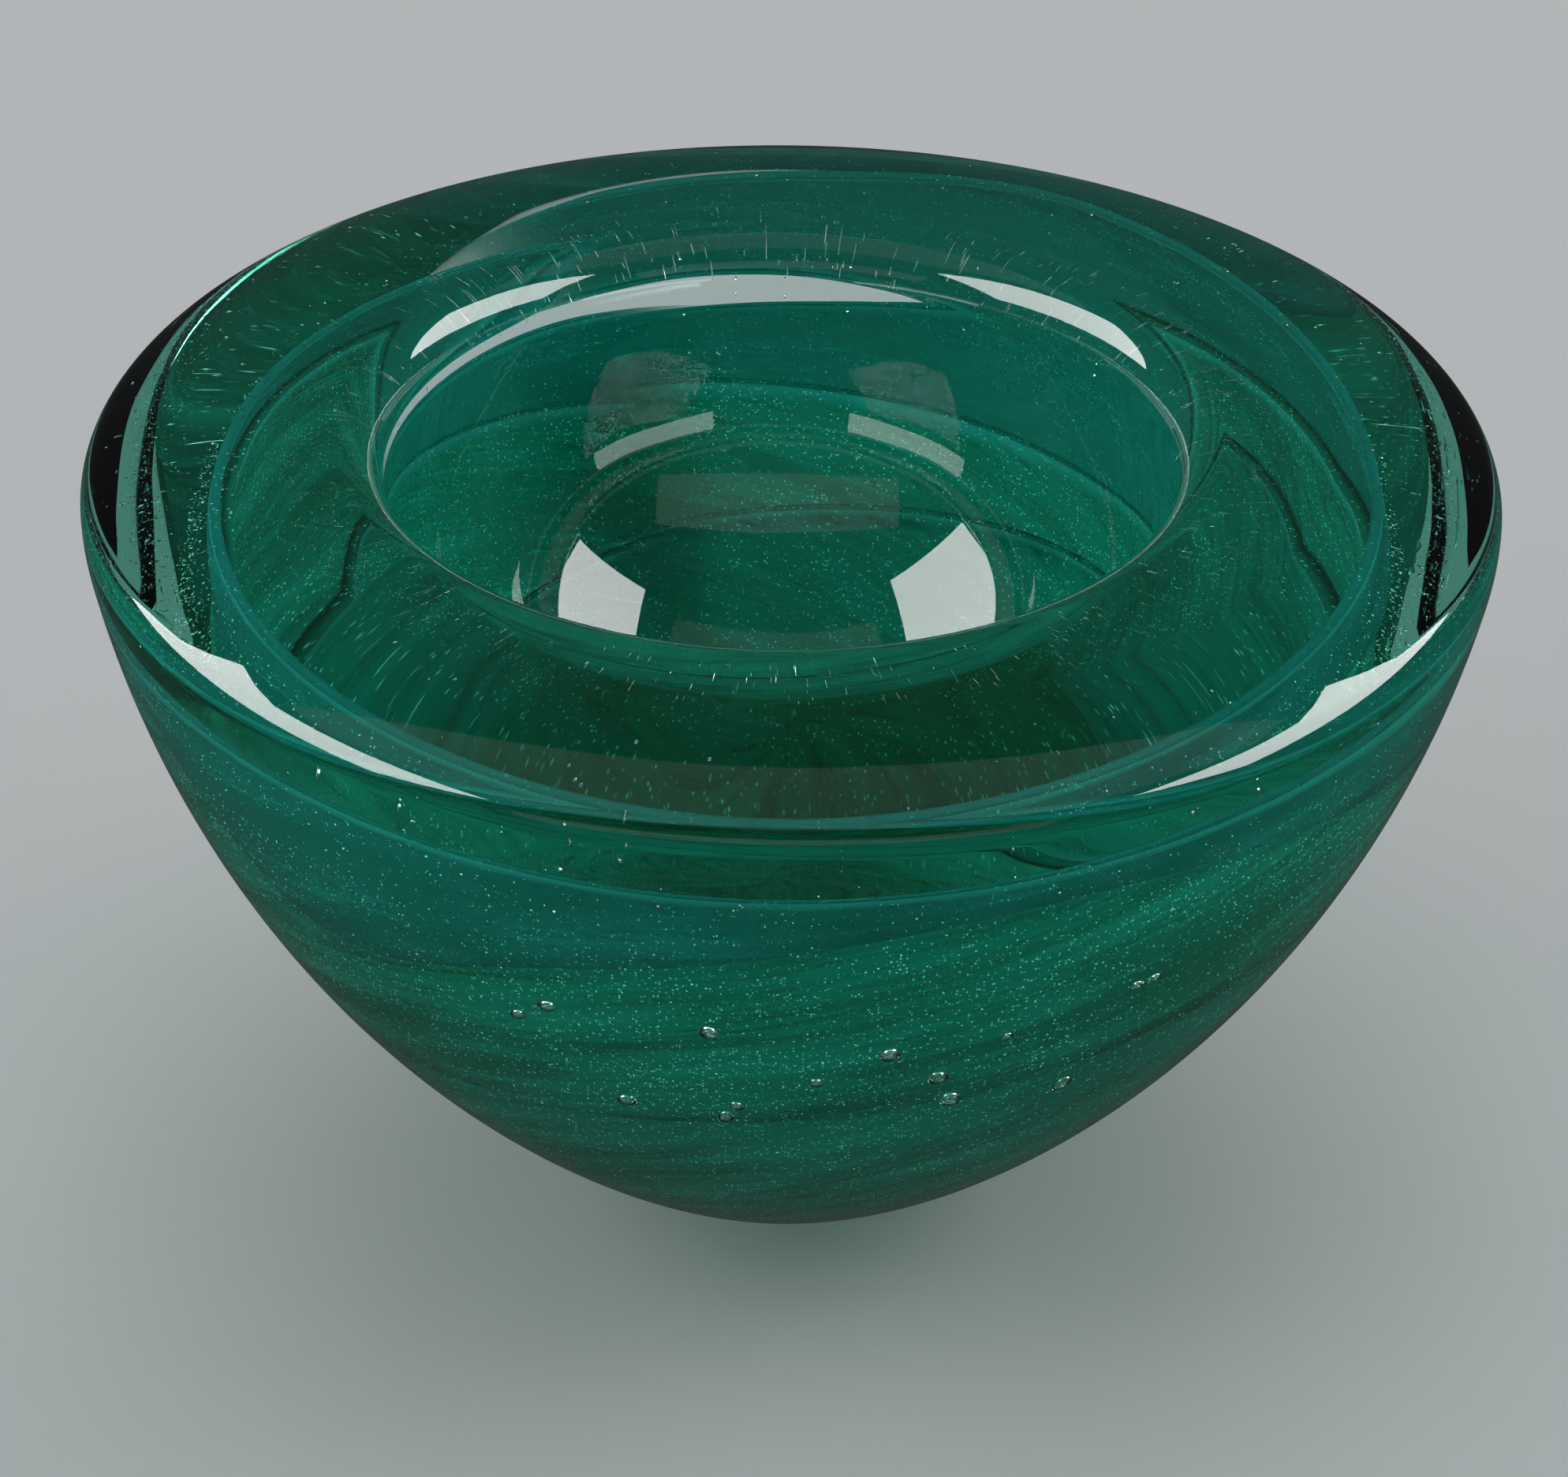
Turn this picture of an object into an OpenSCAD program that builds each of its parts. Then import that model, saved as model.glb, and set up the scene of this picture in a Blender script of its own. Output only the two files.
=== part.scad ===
// Art glass bowl: a heavy studio bowl of clear glass, hot-worked in one piece.
// It is built up from the inside out, as it is on the blowpipe: a first gather that
// forms the well, a second clear gather with seed bubbles, wraps of glittering green
// veil laid over it, and a thick clear outer casing with a soft rounded rim.
// Millimetres, +Z up, origin at the centre of the polished base.

/* [Outer casing] */
// Largest radius of the bowl, at its widest ring
widest_r = 57.5; // [56:0.5:62]
// Height of the widest ring above the base
widest_z = 63; // [60:0.5:66]
// Radius of the arc that turns the widest ring down into the flank
belly_r = 15; // [10:1:25]
// Angle that the belly arc turns through, in degrees
belly_deg = 12; // [10:1:14]
// Radius of the flat polished base
base_r = 15; // [13:0.5:18]
// Radius of the soft outer edge of the rim
rim_r = 2.5; // [2:0.5:4]
// Angle that the rim edge turns through before the top flattens, in degrees
rim_deg = 66; // [60:1:72]
// Radius at which the top of the rim is highest
crest_r = 44; // [41:0.5:46]

/* [Well] */
// Radius of the well, which has a straight collar and a hemispherical floor
well_r = 32; // [30:0.5:33]
// Depth of the well below the top of the rim
well_depth = 38; // [37:0.5:40]
// Radius of the soft lip between the top and the well
lip_r = 4; // [2.5:0.5:5]
// How far the hand-made well stands off the axis of the bowl
well_off = 1.1; // [0:0.1:1.5]
// Thickness of the first gather around the well
lining_t = 3; // [2:0.5:4]

/* [Colour veils] */
// Largest radius of the veiled mass inside the casing
veil_r = 47.5; // [46:0.5:48.5]
// Height of the veiled mass's widest ring
veil_widest_z = 56; // [54:0.5:57]
// Thickness of each wrap of veil
veil_t = 0.9; // [0.6:0.1:1.2]
// Height of the upper veil's free edge, on the axis
edge_z = 57.5; // [54:0.5:58]
// Tilt of that edge, lowest at the front, in degrees
edge_tilt = 0.5; // [0:0.5:1]
// Height of the joint between the upper and the middle veil, on the axis
upper_joint_z = 50; // [47:0.5:51]
// Tilt of that joint, in degrees
upper_joint_tilt = 6; // [0:0.5:7]
// Height of the joint between the middle and the lower veil, on the axis
lower_joint_z = 32; // [28:0.5:34]
// Tilt of that joint, in degrees
lower_joint_tilt = 8; // [0:0.5:11]
// Height of the dense pool of colour over the base
heel_z = 13; // [9:0.5:16]

/* [Bubbles] */
// Number of stretched bubbles in the ring round the lip
lip_bubbles_n = 30; // [12:1:36]
// Diameter of a stretched bubble
lip_bubble_d = 0.5; // [0.4:0.1:0.8]
// Length of a stretched bubble
lip_bubble_l = 2.4; // [1.5:0.1:3]
// Smallest diameter of a large bubble in the flank
bubble_d_min = 0.9; // [0.7:0.1:1.1]
// Largest diameter of a large bubble in the flank
bubble_d_max = 1.9; // [1.4:0.1:2.1]

/* [Hidden] */
$fn = 96;

// Arcs of the outer casing, in the order that bowl_outline() takes them
CASING = [widest_r, widest_z, belly_r, belly_deg, base_r, 0, rim_r, rim_deg, crest_r];
// Arcs of the veiled mass, which follows the flank about 4 to 9 mm inside the casing
veil_base_r = 12.5;
veil_base_z = 2.5;
VEILS = [veil_r, veil_widest_z, 45, 24, veil_base_r, veil_base_z, 6, 80, 40];
// Total height of the bowl
top_z = widest_z + crown_r(CASING) + (rim_r - crown_r(CASING)) * sin(rim_deg);
well_floor_z = top_z - well_depth;
well_centre_z = well_floor_z + well_r;
// Compass bearings, from the front, of the lowest point of each slanting veil edge
edge_bearing = -5;
upper_joint_bearing = -50;
lower_joint_bearing = 30;
// Reach of the cutting blocks, well outside the bowl
reach = 90;
// The large bubbles: how many there are, their middle height, the first one's bearing and
// the step to the next, how far each strays, and the depth of their centres
large_bubbles_n = 14;
bubbles_z = 38;
bubbles_bearing = -24;
bubbles_step = 4.6;
bubbles_scatter = 6;
bubbles_depth = 1.8;
// The ring of stretched bubbles: radius of its middle, and depth under the top
lip_ring_r = well_r + lip_r + 2.2;
lip_ring_depth = 4.4;

// Direction of an angle in the section plane
function unit(a) = [cos(a), sin(a)];

// Point on an arc about centre c
function on_arc(c, r, a) = c + r * unit(a);

// Radius of the shallow crown that joins the rim's edge to its highest ring
function crown_r(s) = s[6] + (s[0] - s[6] - s[8]) / cos(s[7]);

// Centre and radius of the flank arc, which leaves the belly arc smoothly
// and comes down to the rim of the base
function flank(s) =
    let (p = on_arc([s[0] - s[2], s[1]], s[2], -s[3]),
         d = [s[4], s[5]] - p,
         r = -(d * d) / (2 * (unit(-s[3]) * d)))
    [p - r * unit(-s[3]), r];

// The rounded part of an arc from angle a0 to a1, standing on its chord
module arc_segment(c, r, a0, a1) {
    half = (a1 - a0) / 2;
    inner = c + (r * cos(half) - min(2, r / 3)) * unit(a0 + half);
    apex = c + r / cos(half) * unit(a0 + half);
    intersection() {
        translate(c) circle(r = r);
        polygon([inner, on_arc(c, r, a0), apex, on_arc(c, r, a1)]);
    }
}

// Half section of a bowl-shaped mass: flat base, flank arc, belly arc, rim edge and
// shallow crown, each tangent to the next, with everything moved inwards by inset
module bowl_outline(s, inset = 0) {
    f = flank(s);
    flank_r = f[1] - inset;
    belly = s[2] - inset;
    rim = s[6] - inset;
    crown = crown_r(s) - inset;
    belly_c = [s[0] - s[2], s[1]];
    rim_c = [s[0] - s[6], s[1]];
    crown_c = rim_c + (s[6] - crown_r(s)) * unit(s[7]);
    base_z = s[5] + inset;
    base_a = asin((base_z - f[0][1]) / flank_r);
    union() {
        polygon([[0, base_z], on_arc(f[0], flank_r, base_a), on_arc(belly_c, belly, -s[3]),
                 on_arc(belly_c, belly, 0), on_arc(rim_c, rim, s[7]),
                 on_arc(crown_c, crown, 90), [0, crown_c[1] + crown]]);
        arc_segment(f[0], flank_r, base_a, -s[3]);
        arc_segment(belly_c, belly, -s[3], 0);
        arc_segment(rim_c, rim, 0, s[7]);
        arc_segment(crown_c, crown, s[7], 90);
    }
}

// A whole bowl-shaped mass, with no well in it
module bowl_mass(s, inset = 0) {
    rotate_extrude() bowl_outline(s, inset);
}

// A round-ended plug of the given radius, on the axis of the well
module well_plug(r) {
    translate([-well_off, 0, well_centre_z]) {
        sphere(r = r);
        cylinder(r = r, h = reach);
    }
}

// The empty space of the well with its soft lip
module well_space() {
    well_plug(well_r);
    translate([-well_off, 0, top_z - lip_r]) rotate_extrude() difference() {
        translate([well_r - 1, 0]) square([lip_r + 1, lip_r + 1]);
        translate([well_r + lip_r, 0]) circle(r = lip_r);
    }
}

// Everything below a slanting plane that crosses the axis at height z and is lowest
// towards the given bearing, counted from the front
module below(z, tilt, bearing) {
    translate([0, 0, z]) rotate([0, 0, bearing]) rotate([tilt, 0, 0])
        translate([-reach, -reach, -2 * reach]) cube([2 * reach, 2 * reach, 2 * reach]);
}

// The whole shell that the wraps of veil share
module veil_shell() {
    difference() {
        bowl_mass(VEILS);
        bowl_mass(VEILS, veil_t);
    }
}

// Radius of the casing's flank at height z
function flank_radius(z) =
    let (f = flank(CASING), rise = z - f[0][1])
    f[0][0] + sqrt(f[1] * f[1] - rise * rise);

// Where each large bubble lies: its bearing from the front, its radius and its height
function large_bubble_places() = [for (i = [0 : large_bubbles_n - 1])
    let (z = bubbles_z + bubbles_scatter * sin(199 * i + 40))
    [bubbles_bearing + bubbles_step * i + bubbles_scatter * sin(137 * i),
     flank_radius(z) - bubbles_depth, z]];

// Round bubbles trapped just under the surface of the casing
module large_bubble_balls() {
    places = large_bubble_places();
    for (i = [0 : len(places) - 1]) {
        size = bubble_d_min + (bubble_d_max - bubble_d_min) * abs(sin(97 * i + 20));
        rotate([0, 0, places[i][0]]) translate([0, -places[i][1], places[i][2]])
            sphere(d = size, $fn = 24);
    }
}

// Bubbles drawn out towards the lip as the well was opened
module lip_bubble_rods() {
    rod = lip_bubble_l - lip_bubble_d;
    for (i = [0 : lip_bubbles_n - 1])
        translate([-well_off, 0, top_z - lip_ring_depth - 0.6 * abs(sin(83 * i))])
            rotate([0, 0, (i + 0.3 * sin(61 * i)) * 360 / lip_bubbles_n])
                translate([lip_ring_r - rod / 2 + 0.5 * sin(149 * i), 0, 0]) rotate([0, 90, 0]) {
                    cylinder(d = lip_bubble_d, h = rod, $fn = 24);
                    sphere(d = lip_bubble_d, $fn = 24);
                    translate([0, 0, rod]) sphere(d = lip_bubble_d, $fn = 24);
                }
}

// Clear outer gather: the flank with its large bubbles, the thick rounded rim and the
// polished base
module outer_casing() {
    color([0.80, 0.93, 0.89, 0.45]) difference() {
        bowl_mass(CASING);
        bowl_mass(VEILS);
        well_plug(well_r + lining_t);
        well_space();
        lip_bubble_rods();
        large_bubble_balls();
    }
}

// Teal wrap under the shoulder, with the free edge that shows through the rim
module upper_veil() {
    color([0.10, 0.45, 0.42]) difference() {
        intersection() {
            veil_shell();
            below(edge_z, edge_tilt, edge_bearing);
        }
        below(upper_joint_z, upper_joint_tilt, upper_joint_bearing);
    }
}

// Ribbon across the belly, between two slanting joints
module middle_veil() {
    color([0.05, 0.52, 0.38]) difference() {
        intersection() {
            veil_shell();
            below(upper_joint_z, upper_joint_tilt, upper_joint_bearing);
        }
        below(lower_joint_z, lower_joint_tilt, lower_joint_bearing);
    }
}

// Deep green wrap that closes under the bowl
module lower_veil() {
    color([0.00, 0.32, 0.22]) intersection() {
        veil_shell();
        below(lower_joint_z, lower_joint_tilt, lower_joint_bearing);
    }
}

// Dense colour that ran together over the base
module heel_pool() {
    color([0.00, 0.24, 0.16]) intersection() {
        bowl_mass(VEILS, veil_t);
        below(heel_z, 0, 0);
    }
}

// Clear glass between the veils and the first gather
module clear_gather() {
    color([0.55, 0.80, 0.72, 0.6]) difference() {
        union() {
            bowl_mass(VEILS, veil_t);
            difference() {
                bowl_mass(VEILS);
                below(edge_z, edge_tilt, edge_bearing);
            }
        }
        below(heel_z, 0, 0);
        well_plug(well_r + lining_t);
        lip_bubble_rods();
    }
}

// First gather, blown out to make the well and drawn over at the lip
module well_gather() {
    color([0.35, 0.70, 0.60, 0.7]) difference() {
        intersection() {
            bowl_mass(CASING);
            well_plug(well_r + lining_t);
        }
        well_space();
        lip_bubble_rods();
    }
}

// Trapped air: the large round bubbles in the flank
module large_bubbles() {
    color([0.85, 1.00, 0.95]) large_bubble_balls();
}

// Trapped air: the ring of stretched bubbles round the lip
module lip_bubbles() {
    color([0.75, 0.95, 0.90]) lip_bubble_rods();
}

outer_casing();
upper_veil();
middle_veil();
lower_veil();
heel_pool();
clear_gather();
well_gather();
large_bubbles();
lip_bubbles();
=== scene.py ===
"""Looks of a heavy studio-glass bowl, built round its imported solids.

The bowl is one mass of clear glass with a round well in its top. Inside the clear casing lies a
sheet of green powder glass full of glitter, wound round like a scroll, and under it a ribbon and a
deep green cup. Bubbles and flecks are scattered through the layers. Sizes are in millimetres, and
turn to metres only where a mesh is written. A bearing is an angle round the axis in degrees, counted
from the front (-Y) and growing towards +X.
"""

import logging
from dataclasses import dataclass, field
from enum import Enum
from typing import Callable

import bpy
import numpy as np
from mathutils import Matrix, Vector


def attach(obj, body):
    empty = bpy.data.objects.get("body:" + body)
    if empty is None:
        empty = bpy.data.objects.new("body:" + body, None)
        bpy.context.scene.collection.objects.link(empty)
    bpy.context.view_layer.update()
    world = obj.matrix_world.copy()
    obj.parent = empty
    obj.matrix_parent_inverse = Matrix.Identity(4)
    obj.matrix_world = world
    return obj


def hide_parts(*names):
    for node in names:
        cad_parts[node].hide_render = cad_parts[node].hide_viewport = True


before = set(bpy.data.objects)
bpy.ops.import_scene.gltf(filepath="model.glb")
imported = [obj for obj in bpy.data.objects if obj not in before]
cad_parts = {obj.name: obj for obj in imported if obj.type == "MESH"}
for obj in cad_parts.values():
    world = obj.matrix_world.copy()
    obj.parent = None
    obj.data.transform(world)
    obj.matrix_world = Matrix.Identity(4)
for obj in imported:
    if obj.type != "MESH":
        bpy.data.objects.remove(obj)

MM = 0.001
GLASS_IOR = 1.52
Array = np.ndarray
Knots = tuple[tuple[float, float], ...]
log = logging.getLogger("art_glass_bowl")


# ---------------------------------------------------------------- small mathematics


def unit(degrees: float) -> Array:
    """Direction of an angle in the section plane, as (outwards, upwards)."""
    turn = np.radians(degrees)
    return np.array([np.cos(turn), np.sin(turn)])


def arc(centre: Array, radius: float, start: float, end: float, count: int) -> Array:
    """Points along an arc: centre plus radius times the direction of an angle that runs evenly.

    Args:
        centre: Centre of the arc in the section plane.
        radius: Radius of the arc.
        start: First angle in degrees.
        end: Last angle in degrees.
        count: Number of points.

    Returns:
        An array of count rows, each (radius, height).
    """
    turn = np.radians(np.linspace(start, end, count))
    return centre + radius * np.stack([np.cos(turn), np.sin(turn)], axis=1)


def smooth_through(knots: Knots, x: Array) -> Array:
    """Smooth curve through knots: on each span a cubic whose end slopes are those of the line between
    the neighbouring knots.

    Args:
        knots: Pairs of position and value, in order of position.
        x: Positions to work the curve out at.

    Returns:
        The curve's values, in the shape of x.
    """
    at, value = np.array(knots, float).T
    slope = np.gradient(value, at)
    span = np.clip(np.searchsorted(at, x, side="right") - 1, 0, len(at) - 2)
    width = at[span + 1] - at[span]
    t = np.clip((x - at[span]) / width, 0.0, 1.0)
    start = (2 * t**3 - 3 * t**2 + 1) * value[span] + (t**3 - 2 * t**2 + t) * width * slope[span]
    end = (3 * t**2 - 2 * t**3) * value[span + 1] + (t**3 - t**2) * width * slope[span + 1]
    return start + end


def smooth_step(low: float, high: float, x: Array) -> Array:
    """An even S-shaped rise from 0 below low to 1 above high."""
    t = np.clip((x - low) / (high - low), 0.0, 1.0)
    return t * t * (3.0 - 2.0 * t)


def around(radius: Array, bearing: Array, height: Array) -> Array:
    """Points at a radius, bearing and height: x is radius times sine, y is minus radius times cosine."""
    turn = np.radians(bearing)
    return np.stack(np.broadcast_arrays(radius * np.sin(turn), -radius * np.cos(turn), height), axis=-1)


# ---------------------------------------------------------------- meshes


def grid_faces(rows: int, columns: int, wrap: bool) -> Array:
    """Quads of a grid of points, row by row, facing outwards when rows climb and bearings grow.

    Args:
        rows: Number of rows.
        columns: Number of points in a row.
        wrap: Whether the last column joins the first.

    Returns:
        An array of quads.
    """
    row = np.arange(rows - 1)[:, None] * columns
    column = np.arange(columns if wrap else columns - 1)[None, :]
    beside = (column + 1) % columns
    corners = [row + column, row + beside, row + columns + beside, row + columns + column]
    return np.stack(corners, axis=-1).reshape(-1, 4)


def mesh_piece(name: str, points: Array, faces: list[list[int]]) -> bpy.types.Object:
    """Makes a smooth mesh object at the origin from points in millimetres.

    Args:
        name: Name of the piece.
        points: Points in the row frame, in millimetres.
        faces: Lists of point indices.

    Returns:
        The new object.
    """
    mesh = bpy.data.meshes.new(name)
    mesh.from_pydata((points.reshape(-1, 3) * MM).tolist(), [], faces)
    mesh.polygons.foreach_set("use_smooth", np.ones(len(mesh.polygons), bool))
    mesh.update()
    piece = bpy.data.objects.new(name, mesh)
    bpy.context.scene.collection.objects.link(piece)
    return piece


def turned_piece(name: str, section: Array, columns: int, shift: Array | None = None) -> bpy.types.Object:
    """Turns a section about the axis: each point of it becomes a ring, and its two ends, which lie on
    the axis, become the poles.

    Args:
        name: Name of the piece.
        section: Rows of (radius, height) from the lower pole, round the outside, to the other pole.
        columns: Number of points in a ring.
        shift: How far each ring stands off the axis towards +X, or None.

    Returns:
        The closed piece.
    """
    bearing = np.arange(columns) * 360.0 / columns
    rings = around(section[1:-1, :1], bearing[None, :], section[1:-1, 1:])
    offset = np.zeros(len(section)) if shift is None else shift
    rings[..., 0] += offset[1:-1, None]
    poles = np.array([[offset[0], 0.0, section[0, 1]], [offset[-1], 0.0, section[-1, 1]]])
    count = len(section) - 2
    low, high = count * columns, count * columns + 1
    faces = grid_faces(count, columns, wrap=True).tolist()
    here = np.arange(columns)
    beside = (here + 1) % columns
    last = (count - 1) * columns
    faces += np.stack([beside, here, np.full(columns, low)], axis=1).tolist()
    faces += np.stack([last + here, last + beside, np.full(columns, high)], axis=1).tolist()
    return mesh_piece(name, np.concatenate([rings.reshape(-1, 3), poles]), faces)


@dataclass(frozen=True)
class Unrolled:
    """Where each point of a sheet's grid lies on the unrolled sheet.

    Attributes:
        flow: Places along the winding and up the sheet, in millimetres.
        drop: Distances under the upper edge, in millimetres.
        fade: Shares of the powder that is left: 0 at the two ends of the winding, 1 away from them.
    """

    flow: Array
    drop: Array
    fade: Array

    def write(self, mesh: bpy.types.Mesh) -> None:
        """Writes the attributes of a shell whose two faces have the same grid, in metres."""
        places = mesh.attributes.new("flow", "FLOAT_VECTOR", "POINT")
        places.data.foreach_set("vector", np.tile(self.flow.reshape(-1, 3) * MM, (2, 1)).ravel())
        for name, values in (("drop", self.drop * MM), ("fade", self.fade)):
            layer = mesh.attributes.new(name, "FLOAT", "POINT")
            layer.data.foreach_set("value", np.tile(values.ravel(), 2))


def shell_piece(name: str, outer: Array, inner: Array, unrolled: Unrolled) -> bpy.types.Object:
    """Closes two like grids into a thin shell, with strips along their four free edges.

    Args:
        name: Name of the piece.
        outer: Grid of points on the outer face, as rows, columns and coordinates.
        inner: The matching grid on the inner face.
        unrolled: The matching places on the unrolled sheet, for the streaks to follow.

    Returns:
        The closed piece.
    """
    rows, columns = outer.shape[:2]
    count = rows * columns
    front = grid_faces(rows, columns, wrap=False)
    back = count + front[:, ::-1]
    index = np.arange(count).reshape(rows, columns)
    faces = front.tolist() + back.tolist()
    for rim in (index[0, ::-1], index[:, 0], index[-1], index[::-1, -1]):
        here, there = rim[:-1], rim[1:]
        faces += np.stack([here, there, there + count, here + count], axis=1).tolist()
    piece = mesh_piece(name, np.concatenate([outer.reshape(-1, 3), inner.reshape(-1, 3)]), faces)
    unrolled.write(piece.data)
    return piece


def repeated_piece(name: str, shape: Array, sides: Array, places: Array, frames: Array) -> bpy.types.Object:
    """Repeats a small shape: each copy is the shape times its own frame of axes, moved to its place.

    Args:
        name: Name of the piece.
        shape: Points of the small shape.
        sides: Its triangles.
        places: One place for each copy.
        frames: One 3 by 3 matrix for each copy, whose columns are its axes with their lengths.

    Returns:
        One piece that holds all the copies.
    """
    points = np.einsum("nij,kj->nki", frames, shape) + places[:, None, :]
    faces = sides[None, :, :] + (np.arange(len(places)) * len(shape))[:, None, None]
    return mesh_piece(name, points, faces.reshape(-1, 3).tolist())


def ball_shape(levels: int) -> tuple[Array, Array]:
    """A round ball of unit radius, from an octahedron whose faces are split in four and pushed out.

    Args:
        levels: How many times the faces are split.

    Returns:
        Its points and its triangles.
    """
    points = np.array([[1, 0, 0], [-1, 0, 0], [0, 1, 0], [0, -1, 0], [0, 0, 1], [0, 0, -1]], float)
    sides = np.array([[0, 2, 4], [2, 1, 4], [1, 3, 4], [3, 0, 4], [2, 0, 5], [1, 2, 5], [3, 1, 5], [0, 3, 5]])
    for _ in range(levels):
        corners = points[sides]
        middles = (corners + np.roll(corners, -1, axis=1)) / 2.0
        a, b, c = corners.transpose(1, 0, 2)
        ab, bc, ca = middles.transpose(1, 0, 2)
        soup = np.stack([a, ab, ca, ab, b, bc, ca, bc, c, ab, bc, ca], axis=1).reshape(-1, 3)
        soup /= np.linalg.norm(soup, axis=1, keepdims=True)
        points, index = np.unique(soup.round(6), axis=0, return_inverse=True)
        sides = index.reshape(-1, 3)
    return points, sides


def random_frames(dice: np.random.Generator, lengths: Array) -> Array:
    """Frames of axes turned at random: the three columns of a random turn times the given lengths.

    Args:
        dice: Source of the random draws.
        lengths: Rows of three axis lengths.

    Returns:
        One 3 by 3 matrix for each row.
    """
    turns, _ = np.linalg.qr(dice.normal(size=(len(lengths), 3, 3)))
    turns[:, :, 0] *= np.sign(np.linalg.det(turns))[:, None]
    return turns * lengths[:, None, :]


# ---------------------------------------------------------------- materials


def srgb(code: str) -> tuple[float, float, float, float]:
    """Turns an sRGB hex colour such as 1e6f5c to linear values with full alpha."""
    parts = np.array([int(code[i : i + 2], 16) for i in (0, 2, 4)]) / 255.0
    linear = np.where(parts <= 0.04045, parts / 12.92, ((parts + 0.055) / 1.055) ** 2.4)
    return (*linear.tolist(), 1.0)


def add(tree: bpy.types.NodeTree, kind: str, settings: dict, links: dict | None = None) -> bpy.types.Node:
    """Adds a node, with its settings and links.

    Args:
        tree: Node tree of a material.
        kind: Blender's name of the node type.
        settings: Values for its sockets, or for its properties where no socket has that name.
        links: Sockets to feed it from, by the name or number of its own socket.

    Returns:
        The new node.
    """
    node = tree.nodes.new(kind)
    for name, value in settings.items():
        if isinstance(name, int) or name in node.inputs:
            node.inputs[name].default_value = value
        else:
            setattr(node, name, value)
    for name, source in (links or {}).items():
        tree.links.new(source, node.inputs[name])
    return node


def new_material(name: str) -> tuple[bpy.types.Material, bpy.types.NodeTree, bpy.types.NodeSocket]:
    """Starts a material.

    Args:
        name: Name of the material.

    Returns:
        The material, its empty node tree and the object coordinates of the surface.
    """
    material = bpy.data.materials.new(name)
    material.use_nodes = True
    tree = material.node_tree
    tree.nodes.clear()
    return material, tree, add(tree, "ShaderNodeTexCoord", {}).outputs["Object"]


def pattern_scale(size_mm: float) -> float:
    """Scale of a noise pattern whose features are about this many millimetres across."""
    return 1.0 / (size_mm * MM)


def absorption(tree: bpy.types.NodeTree, tint: str, depth_mm: float) -> bpy.types.NodeSocket:
    """Adds a volume that colours light by depth: each channel loses minus the logarithm of the tint
    over the way, and the channel that loses most sets the density.

    Args:
        tree: Node tree of a material.
        tint: Colour that is left of white light after the way.
        depth_mm: Length of the way.

    Returns:
        The volume.
    """
    loss = -np.log(np.array(srgb(tint)[:3])) / (depth_mm * MM)
    density = float(loss.max())
    left = (*(1.0 - loss / density).tolist(), 1.0)
    return add(tree, "ShaderNodeVolumeAbsorption", {"Color": left, "Density": density}).outputs[0]


def open_to_lamps(tree: bpy.types.NodeTree, surface: bpy.types.Node, tint: str) -> bpy.types.NodeSocket:
    """Lets lamps reach what lies behind a surface: shadow rays pass straight through it.

    Args:
        tree: Node tree of a material.
        surface: Shader of the surface.
        tint: Tint of the light that passes.

    Returns:
        The mixed shader.
    """
    gap = add(tree, "ShaderNodeBsdfTransparent", {"Color": srgb(tint)})
    path = add(tree, "ShaderNodeLightPath", {})
    links = {0: path.outputs["Is Shadow Ray"], 1: surface.outputs[0], 2: gap.outputs[0]}
    return add(tree, "ShaderNodeMixShader", {}, links).outputs[0]


@dataclass(frozen=True)
class ClearGlass:
    """Hand-worked crystal, fire-polished: smooth and clear, with a slight wave left by the tools and a
    cast of green that only shows where light crosses a long way of it.

    Attributes:
        name: Name of the material.
        cast: Colour that is left of white light after a long way through the glass.
        depth_mm: Length of that way.
        wave_mm: Height of the tool waves.
        shadow: Tint of the light that the surface lets through to what lies behind it.
    """

    name: str
    cast: str = "c2e8e0"
    depth_mm: float = 60.0
    wave_mm: float = 0.09
    shadow: str = "f4fffb"

    def build(self) -> bpy.types.Material:
        """Makes the material."""
        material, tree, where = new_material(self.name)
        slow = {"Scale": pattern_scale(16.0), "Detail": 1.0}
        wave = add(tree, "ShaderNodeTexNoise", slow, {"Vector": where})
        height = {"Strength": 1.0, "Distance": self.wave_mm * MM}
        bump = add(tree, "ShaderNodeBump", height, {"Height": wave.outputs[0]})
        clear = {"Base Color": (1, 1, 1, 1), "Roughness": 0.0, "IOR": GLASS_IOR, "Transmission Weight": 1.0}
        glass = add(tree, "ShaderNodeBsdfPrincipled", clear, {"Normal": bump.outputs["Normal"]})
        face = open_to_lamps(tree, glass, self.shadow)
        volume = absorption(tree, self.cast, self.depth_mm)
        add(tree, "ShaderNodeOutputMaterial", {}, {"Surface": face, "Volume": volume})
        return material


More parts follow.
